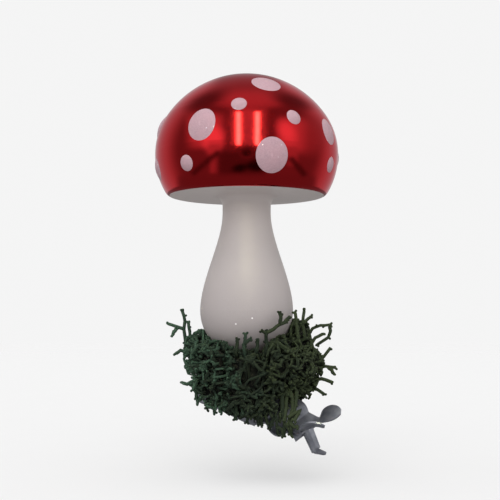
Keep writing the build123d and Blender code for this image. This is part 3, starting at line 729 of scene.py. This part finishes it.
def in_clip(point, radius):
    """True if a point lies where the clip and its levers are."""
    offset = point - HINGE
    aside = abs(offset.dot(PIN_WAY))
    above = offset.dot(CLIP_UP)
    return aside < CLIP_HALF_WIDTH + radius and above < CLIP_TOP + radius


def clear_of_clip(point, radius):
    """The point, moved out of the clip on the camera's side if it lies in it."""
    if not in_clip(point, radius):
        return point
    aside = (point - HINGE).dot(PIN_WAY)
    return point - PIN_WAY * (aside + CLIP_HALF_WIDTH + radius)


def random_way(rng):
    """A direction by chance."""
    turn = rng.uniform(0, 2 * math.pi)
    height = rng.uniform(-1, 1)
    ring = math.sqrt(1 - height * height)
    return Vector((ring * math.cos(turn), ring * math.sin(turn), height))


def islands(work):
    """Groups of joined vertices."""
    left = set(work.verts)
    while left:
        group = set()
        edge = [left.pop()]
        while edge:
            vertex = edge.pop()
            group.add(vertex)
            joined = [link.other_vert(vertex) for link in vertex.link_edges]
            edge += [other for other in joined if other in left]
            left.difference_update(joined)
        yield group


def eased(value, low, high):
    """0 below low, 1 above high and a smooth rise between them."""
    share = min(1.0, max(0.0, (value - low) / (high - low)))
    return share * share * (3 - 2 * share)


def shaped(point):
    """A point of a tuft's body, moved to the collar's outline: fuller at the right, bowl-shaped below."""
    flat = Vector((point.x, point.y, 0)) - AXIS
    way = flat.normalized()
    right = max(0.0, way.dot(ACROSS)) ** 2
    rightness = 0.5 + 0.5 * way.dot(ACROSS)
    frontness = max(0.0, way.dot(TOWARD))
    level = point.z - NECK_END_Z
    high_up = eased(level, *COLLAR_SWELL_TOP)
    swell = COLLAR_SWELL * (1 - high_up) - COLLAR_PINCH * high_up
    flat += way * (swell * right * eased(flat.length, *COLLAR_SWELL_RANGE))
    level -= COLLAR_DROP * right * (1 - eased(level, *COLLAR_DROP_RANGE))
    bowl_reach = BOWL_REACH_LEFT + (BOWL_REACH_RIGHT - BOWL_REACH_LEFT) * rightness
    low = BOWL_BOTTOM + BOWL_RISE * (flat.length / bowl_reach) ** BOWL_POWER
    side_top = COLLAR_TOP_LEFT + (COLLAR_TOP_RIGHT - COLLAR_TOP_LEFT) * rightness
    high = side_top + (COLLAR_TOP_FRONT - side_top) * frontness
    moved = AXIS + flat + UP * (NECK_END_Z + min(high, max(low, level)))
    return point if in_clip(moved, TWIG_RADIUS) else pushed_clear(moved, 0.0)


def moss_skin(node):
    """The round body of a tuft without its sprigs: its solid, melted together, thin parts taken off."""
    copy = frame["nodes"][node].copy()
    copy.data = frame["nodes"][node].data.copy()
    copy.parent = None
    bpy.context.scene.collection.objects.link(copy)
    remesh = copy.modifiers.new("melt", "REMESH")
    remesh.mode = "VOXEL"
    remesh.voxel_size = HEART_VOXEL
    graph = bpy.context.evaluated_depsgraph_get()
    mesh = bpy.data.meshes.new_from_object(copy.evaluated_get(graph))
    bpy.data.objects.remove(copy)
    work = bmesh.new()
    work.from_mesh(mesh)
    work.normal_update()
    tree = BVHTree.FromBMesh(work)
    thin = []
    for vertex in work.verts:
        inside = vertex.co - vertex.normal * HEART_PROBE
        hit = tree.ray_cast(inside, -vertex.normal, HEART_THINNEST)
        if hit[0] is not None:
            thin.append(vertex)
    bmesh.ops.delete(work, geom=thin, context="VERTS")
    largest = max(islands(work), key=len)
    bmesh.ops.delete(work, geom=[vertex for vertex in work.verts if vertex not in largest], context="VERTS")
    bmesh.ops.holes_fill(work, edges=[edge for edge in work.edges if edge.is_boundary])
    bmesh.ops.triangulate(work, faces=[face for face in work.faces if len(face.verts) > 4])
    bmesh.ops.recalc_face_normals(work, faces=work.faces)
    ease = dict(factor=0.5, use_axis_x=True, use_axis_y=True, use_axis_z=True)
    for _ in range(HEART_SMOOTHINGS):
        bmesh.ops.smooth_vert(work, verts=work.verts, **ease)
    work.normal_update()
    moves = [(vertex, vertex.normal * HEART_SHRINK) for vertex in work.verts]
    for vertex, move in moves:
        vertex.co = shaped(vertex.co - move)
    work.normal_update()
    work.to_mesh(mesh)
    tree = BVHTree.FromBMesh(work)
    work.free()
    return mesh, tree


def close_holes(mesh):
    """Closes the few small holes left in a tuft's heart."""
    work = bmesh.new()
    work.from_mesh(mesh)
    for _ in range(CLOSING_ROUNDS):
        rim = [vertex for vertex in work.verts if any(edge.is_boundary for edge in vertex.link_edges)]
        if not rim:
            break
        bmesh.ops.delete(work, geom=rim, context="VERTS")
        bmesh.ops.holes_fill(work, edges=[edge for edge in work.edges if edge.is_boundary])
        bmesh.ops.triangulate(work, faces=[face for face in work.faces if len(face.verts) > 4])
    bmesh.ops.recalc_face_normals(work, faces=work.faces)
    work.to_mesh(mesh)
    work.free()


def creep(twigs, rng, tree, start, heading, length, radius, level, lift, tint):
    """One stretch of a strand that lies over the tuft, then its forks."""
    path = [start]
    lifts = [lift]
    way = heading
    for _ in range(TWIG_STEPS):
        way = (way + random_way(rng) * WANDER).normalized()
        lift = min(STRAND_TOP, lift + STRAND_RISE / TWIG_STEPS * rng.uniform(*STRAND_RISE_SPREAD))
        spot, normal, _, _ = tree.find_nearest(path[-1] + way * (length / TWIG_STEPS))
        following = pushed_clear(spot + normal * lift, radius)
        step = following - path[-1]
        if in_clip(following, radius) or step.length < STRAND_SHORTEST_STEP * length / TWIG_STEPS:
            break
        way = step.normalized()
        path.append(following)
        lifts.append(lift)
    if len(path) < STRAND_LEAST_POINTS:
        return
    last = level == STRAND_LEVELS
    flare = rng.choice(STRAND_ENDS) if last else 1.0
    # Painted shade: the lower a strand lies over the heart, the darker it is painted, spread at random
    shades = [value / STRAND_TOP * rng.uniform(*STRAND_PAINTED_SHADE_SPREAD) for value in lifts]
    twigs.twig(path, radius, tint, shades, flare)
    if last or len(path) <= TWIG_STEPS:
        return
    forks = 3 if rng.random() < THIRD_FORK else 2
    for fork in range(forks):
        spread = math.radians(rng.uniform(*FORK_SPREAD)) * FORK_SIDES[fork]
        new_way = way.copy()
        new_way.rotate(Matrix.Rotation(spread, 3, normal))
        new_length = length * rng.uniform(*FORK_SHORTER)
        creep(twigs, rng, tree, path[-1], new_way, new_length, radius * FORK_THINNER, level + 1, lift, tint)


def stand(twigs, rng, start, heading, length, radius, level, tint):
    """One stretch of a sprig that stands out of the tuft, then its forks."""
    path = [start]
    way = heading
    for _ in range(TWIG_STEPS):
        way = (way + random_way(rng) * WANDER).normalized()
        following = pushed_clear(path[-1] + way * (length / TWIG_STEPS), radius)
        if in_clip(following, radius):
            return
        path.append(following)
    last = level == SPRIG_LEVELS
    # Painted shade: a sprig's first forks are painted a little darker than its last
    shade = SPRIG_PAINTED_SHADE + (1 - SPRIG_PAINTED_SHADE) * level / SPRIG_LEVELS
    twigs.twig(path, radius, tint, [shade] * len(path), SPRIG_END if last else 1.0)
    if last:
        return
    side = way.orthogonal().normalized()
    side.rotate(Matrix.Rotation(rng.uniform(0, 2 * math.pi), 3, way))
    for sign in (1, -1):
        spread = math.radians(rng.uniform(*FORK_SPREAD))
        new_way = way * math.cos(spread) + side * (sign * math.sin(spread))
        new_length = length * rng.uniform(*FORK_SHORTER)
        stand(twigs, rng, path[-1], new_way, new_length, radius * FORK_THINNER, level + 1, tint)


def surface_points(mesh, count, rng):
    """Points spread over a mesh by area, with the way out of it at each."""
    faces = list(mesh.polygons)
    chosen = rng.choices(faces, weights=[face.area for face in faces], k=count)
    for face in chosen:
        corners = [mesh.vertices[index].co for index in face.vertices]
        shares = [rng.random() + LEAST_SHARE for _ in corners]
        total = sum(shares)
        point = sum((corner * (share / total) for corner, share in zip(corners, shares)), Vector())
        yield point, face.normal.copy()


def tint_at(point, rng):
    """Hue of a sprig: 0 is bluish green, at the left, and 1 is olive, at the right."""
    out = Vector((point.x, point.y, 0)) - AXIS
    rightness = 0.5 + 0.5 * out.normalized().dot(ACROSS)
    return min(1.0, max(0.0, rightness * TINT_BY_SIDE + rng.uniform(*TINT_SPREAD)))


def placed(across_mm, above_mm, ahead_mm):
    """Point by its distances from the mushroom's axis and the neck's end."""
    return AXIS + (ACROSS * across_mm + TOWARD * ahead_mm) * MM + UP * (NECK_END_Z + above_mm * MM)


def set_sprigs(node, twigs, rng, tree):
    """The tuft's sprigs that were set one by one, rooted in the tuft or forking from one another."""
    for kind, *spots in SET_SPRIGS.get(node, []):
        path = [pushed_clear(clear_of_clip(placed(*spot), TWIG_RADIUS), TWIG_RADIUS) for spot in spots]
        if kind == "root":
            spot, normal, _, _ = tree.find_nearest(path[0])
            path.insert(0, spot - normal * TWIG_RADIUS)
        full = [path[0]]
        for first, second in zip(path, path[1:]):
            middle = (first + second) / 2 + random_way(rng) * SET_KINK
            full += [middle, second]
        tint = tint_at(path[-1], rng)
        radius = TWIG_RADIUS * rng.uniform(*SET_RADIUS_SPREAD)
        twigs.twig(full, radius, tint, [SET_PAINTED_SHADE] * len(full), SET_END)
        way = (full[-1] - full[-2]).normalized()
        side = way.orthogonal().normalized()
        side.rotate(Matrix.Rotation(rng.uniform(0, 2 * math.pi), 3, way))
        radius = TWIG_RADIUS * END_BUD_THINNER
        for sign in (1, -1):
            heading = (way + side * (sign * rng.uniform(*BUD_SPREAD))).normalized()
            stand(twigs, rng, full[-1], heading, BUD_LENGTH, radius, SPRIG_LEVELS, tint)
        radius = TWIG_RADIUS * SIDE_BUD_THINNER
        for spot in full[2:-1]:
            if rng.random() < BUD_SHARE:
                stand(twigs, rng, spot, random_way(rng), BUD_LENGTH, radius, SPRIG_LEVELS, tint)


def fringe(node, twigs, rng, tree):
    """Sprigs that hang from the tuft's lower edge, down over the clip."""
    first, last, count = FRINGES.get(node, (0, 0, 0))
    for _ in range(count):
        across = rng.uniform(first, last)
        ahead = math.sqrt(FRINGE_REACH_MM ** 2 - across ** 2)
        above = FRINGE_LEVEL_MM + FRINGE_CLIMB * across + rng.uniform(*FRINGE_LEVEL_SPREAD_MM)
        spot, normal, _, _ = tree.find_nearest(placed(across, above, ahead))
        heading = normal * FRINGE_OUT - UP - PIN_WAY * FRINGE_ASIDE + random_way(rng) * FRINGE_WANDER
        heading.normalize()
        length = FRINGE_LENGTH * rng.uniform(*FRINGE_LENGTH_SPREAD)
        stand(twigs, rng, spot + normal * TWIG_RADIUS, heading, length, TWIG_RADIUS, 1, tint_at(spot, rng))


def starts(mesh, per_mm2, rng):
    """Places spread over a tuft, moved out of the glass and clear of the clip, with the way out at each."""
    area_mm2 = sum(face.area for face in mesh.polygons) / MM ** 2
    for point, normal in surface_points(mesh, round(per_mm2 * area_mm2), rng):
        start = pushed_clear(point, TWIG_RADIUS)
        if not in_clip(start, TWIG_RADIUS):
            yield start, point, normal


def grow_moss():
    """Replaces each tuft's plain solid by a tangle of forking strands round a heart painted dark as painted
    shade.
    """
    twig_paint = moss_twigs()
    # The heart is painted near black as painted shade deep in the moss
    heart_painted_shade = dull("moss_heart", MOSS_HEART_PAINTED_SHADE, roughness=0.97, scale=900, relief_mm=0.3)
    tufts = sorted(name for name in frame["nodes"] if name.startswith("moss_") and name != "moss_glue")
    for index, node in enumerate(tufts):
        rng = random.Random(MOSS_SEED + index)
        mesh, tree = moss_skin(node)
        twigs = Twigs()
        for start, point, normal in starts(mesh, STRANDS_PER_MM2, rng):
            way = random_way(rng)
            heading = (way - normal * way.dot(normal)).normalized()
            length = STRAND_LENGTH * rng.uniform(*STRAND_LENGTH_SPREAD)
            radius = TWIG_RADIUS * rng.uniform(*STRAND_RADIUS_SPREAD)
            lift = rng.uniform(*STRAND_START_MM) * MM
            creep(twigs, rng, tree, start, heading, length, radius, 1, lift, tint_at(point, rng))
        for start, point, normal in starts(mesh, SPRIGS_PER_MM2, rng):
            heading = (normal + random_way(rng) * SPRIG_WANDER).normalized()
            length = SPRIG_LENGTH * rng.uniform(*SPRIG_LENGTH_SPREAD)
            stand(twigs, rng, start, heading, length, TWIG_RADIUS * SPRIG_THINNER, 1, tint_at(point, rng))
        set_sprigs(node, twigs, rng, tree)
        fringe(node, twigs, rng, tree)
        tuft = twigs.finish(node + "_sprigs")
        tuft.data.materials.append(twig_paint)
        close_holes(mesh)
        mesh.materials.clear()
        mesh.materials.append(heart_painted_shade)
        heart = bpy.data.objects.new(node + "_heart", mesh)
        bpy.context.scene.collection.objects.link(heart)
        for thing in (tuft, heart):
            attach(thing, "ornament")
        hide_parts(node)


def spring_path():
    """Middle line of the torsion spring, from the end of the lower leg to the end of the upper one."""
    coil_r = SPRING_DIAMETER / 2
    lean = math.asin(SPRING_LEG_END / math.hypot(SPRING_LEG, coil_r)) - math.atan2(coil_r, SPRING_LEG)
    first = lean - math.pi / 2
    last = math.pi / 2 - lean + 2 * math.pi * SPRING_TURNS
    climb = SPRING_PITCH / (2 * math.pi)
    half = climb * (last - first) / 2

    def point(turn):
        ahead = CLIP_AHEAD * (coil_r * math.cos(turn))
        return HINGE + ahead + PIN_WAY * (climb * (turn - first) - half) + CLIP_UP * (coil_r * math.sin(turn))

    def heading(turn):
        ahead = CLIP_AHEAD * (-coil_r * math.sin(turn))
        return (ahead + PIN_WAY * climb + CLIP_UP * (coil_r * math.cos(turn))).normalized()

    steps = math.ceil((last - first) / (2 * math.pi) * SPRING_STEPS_PER_TURN)
    coil = [point(first + (last - first) * i / steps) for i in range(steps + 1)]
    low_end = coil[0] - heading(first) * SPRING_LEG
    high_end = coil[-1] + heading(last) * SPRING_LEG
    return [low_end, *coil, high_end], half


def torsion_spring():
    """Wire of the torsion spring between the two levers, built as it lies at rest."""
    path, half = spring_path()
    wire = Twigs()
    wire.tube(path, [SPRING_WIRE / 2] * len(path), SPRING_SIDES)
    spring = wire.finish("torsion_spring_wire")
    spring.data.materials.append(stamped_metal("spring_wire", SPRING_STEEL, roughness=0.22, metallic=0.9))
    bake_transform(spring)
    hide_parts("torsion_spring")


def dress_solids():
    """Materials for the solids that keep their own shape."""
    zinc = stamped_metal("zinc_steel", ZINC, roughness=0.33, metallic=0.72)
    paint("glass_body", white_glass())
    paint("cap_lacquer", red_lacquer())
    paint("cap_spots", glitter_paint())
    for node in ("upper_lever", "lower_lever", "hinge_pin"):
        paint(node, zinc)
    paint("neck_sleeve", stamped_metal("tinplate", TINPLATE, roughness=0.3, metallic=0.9))
    paint("neck_cement", dull("cement", CEMENT, roughness=0.9, scale=700, relief_mm=0.2))
    paint("moss_glue", dull("hot_glue", HOT_GLUE, roughness=0.45, scale=200, relief_mm=0.2))


def toward(azimuth, elevation):
    """Way from the object to something at an azimuth from the camera's side and an elevation."""
    turn = math.radians(azimuth)
    lift = math.radians(elevation)
    return (TOWARD * math.cos(turn) + ACROSS * math.sin(turn)) * math.cos(lift) + UP * math.sin(lift)


def lamp(name, azimuth, elevation, spread, strength):
    """Wide, even light from one side that isn't seen itself."""
    light = bpy.data.lights.new(name, "SUN")
    light.angle = math.radians(spread)
    light.energy = strength
    holder = bpy.data.objects.new(name, light)
    holder.rotation_mode = "QUATERNION"
    holder.rotation_quaternion = toward(azimuth, elevation).to_track_quat("Z", "Y")
    holder.visible_camera = False
    holder.visible_glossy = False
    bpy.context.scene.collection.objects.link(holder)


def studio_seen_in_gloss(tree):
    """Colour of the studio by direction, for shiny surfaces."""
    way = add(tree, "ShaderNodeTexCoord").outputs["Generated"]
    slope = vector_maths(tree, "NORMALIZE", vector_maths(tree, "ADD", way, CAP_TO_VIEWPOINT))
    right = vector_maths(tree, "DOT_PRODUCT", slope, ACROSS, output="Value")
    rise = vector_maths(tree, "DOT_PRODUCT", slope, SLOPE_UP, output="Value")
    spot = add(tree, "ShaderNodeCombineXYZ", {"X": right, "Y": rise}).outputs["Vector"]

    def soft_edge(reach, half, soft):
        return smooth_range(tree, reach, 1 - soft / half, 1 + soft / half, 1, 0)

    colour = grey(STUDIO_WALLS)
    for _, shape, across, up, half_width, half_height, soft, lean, brightness, hue in STUDIO:
        inputs = {
            "Vector": spot,
            "Location": (across, up, 0),
            "Rotation": (0, 0, math.radians(lean)),
            "Scale": (half_width, half_height, 1),
        }
        inner = add(tree, "ShaderNodeMapping", inputs, vector_type="TEXTURE").outputs["Vector"]
        if shape == "oval":
            reach = vector_maths(tree, "LENGTH", inner, output="Value")
            share = soft_edge(reach, min(half_width, half_height), soft)
        else:
            sides = add(tree, "ShaderNodeSeparateXYZ", {"Vector": vector_maths(tree, "ABSOLUTE", inner)})
            wide = soft_edge(sides.outputs["X"], half_width, soft)
            tall = soft_edge(sides.outputs["Y"], half_height, soft)
            share = maths(tree, "MULTIPLY", wide, tall)
        colour = mixed(tree, share, colour, (*(brightness * channel for channel in hue), 1.0))
    return colour


def studio():
    """Even light, brighter from the front, the studio for shiny surfaces, and a white background."""
    world = bpy.data.worlds.new("studio")
    world.use_nodes = True
    bpy.context.scene.world = world
    tree = world.node_tree
    tree.nodes.clear()
    path = add(tree, "ShaderNodeLightPath")
    seen = maths(tree, "ADD", path.outputs["Is Camera Ray"], path.outputs["Is Transmission Ray"], clamp=True)
    way = add(tree, "ShaderNodeTexCoord").outputs["Generated"]
    ahead = vector_maths(tree, "DOT_PRODUCT", way, TOWARD, output="Value")
    frontness = maths(tree, "MULTIPLY_ADD", ahead, 0.5, 0.5)
    behind = grey(AMBIENT * (1 - AMBIENT_FRONT))
    before = grey(AMBIENT * (1 + AMBIENT_FRONT))
    soft = mixed(tree, frontness, behind, before)
    colour = mixed(tree, path.outputs["Is Glossy Ray"], soft, studio_seen_in_gloss(tree))
    colour = mixed(tree, seen, colour, grey(BACKGROUND))
    shine = add(tree, "ShaderNodeBackground", {"Color": colour, "Strength": 1.0})
    output = add(tree, "ShaderNodeOutputWorld")
    tree.links.new(shine.outputs[0], output.inputs["Surface"])
    lamp("top_light", **TOP_LIGHT)
    lamp("key_light", **KEY_LIGHT)


def floor():
    """Pale floor that fades into the background far from the object."""
    half = FLOOR_SIZE / 2
    corners = [(-half, -half, 0), (half, -half, 0), (half, half, 0), (-half, half, 0)]
    mesh = bpy.data.meshes.new("floor")
    mesh.from_pydata([Vector(corner) for corner in corners], [], [(0, 1, 2, 3)])
    ground = bpy.data.objects.new("floor", mesh)
    ground.location = AXIS + UP * FLOOR_Z
    ground.visible_glossy = False
    bpy.context.scene.collection.objects.link(ground)
    material = bpy.data.materials.new("floor")
    material.use_nodes = True
    tree = material.node_tree
    tree.nodes.clear()
    where = place(tree)
    fade = smooth_range(tree, vector_maths(tree, "LENGTH", where, output="Value"), *FLOOR_FADE)
    speckle = grain(tree, where, FLOOR_SPECKLE)
    path = add(tree, "ShaderNodeLightPath")
    dark, light = FLOOR_SEEN
    pale = mixed(tree, speckle, grey(dark), grey(light))
    shade = mixed(tree, path.outputs["Is Camera Ray"], grey(FLOOR_BOUNCE), pale)
    lit = add(tree, "ShaderNodeBsdfDiffuse", {"Color": shade})
    glow = add(tree, "ShaderNodeEmission", {"Color": grey(BACKGROUND)})
    share = maths(tree, "MULTIPLY", path.outputs["Is Camera Ray"], FLOOR_GLOW)
    mat = add(tree, "ShaderNodeMixShader", {0: share, 1: lit.outputs[0], 2: glow.outputs[0]})
    clear = add(tree, "ShaderNodeBsdfTransparent")
    both = add(tree, "ShaderNodeMixShader", {0: fade, 1: mat.outputs[0], 2: clear.outputs[0]})
    output = add(tree, "ShaderNodeOutputMaterial")
    tree.links.new(both.outputs[0], output.inputs["Surface"])
    mesh.materials.append(material)


def camera():
    """Camera at the photograph's view."""
    data = bpy.data.cameras.new("camera")
    data.lens = LENS_MM
    data.sensor_width = SENSOR_MM
    data.clip_start = VIEW_NEAR
    data.clip_end = VIEW_FAR
    holder = bpy.data.objects.new("camera", data)
    holder.location = VIEWPOINT
    pitch = math.radians(VIEW_PITCH)
    way = -TOWARD * math.cos(pitch) + UP * math.sin(pitch)
    way.rotate(Matrix.Rotation(math.radians(VIEW_YAW), 3, UP))
    holder.rotation_mode = "QUATERNION"
    holder.rotation_quaternion = way.to_track_quat("-Z", "Y")
    bpy.context.scene.collection.objects.link(holder)
    bpy.context.scene.camera = holder


bpy.context.scene.view_settings.view_transform = "Standard"
camera()
studio()
floor()
dress_solids()
torsion_spring()
grow_moss()
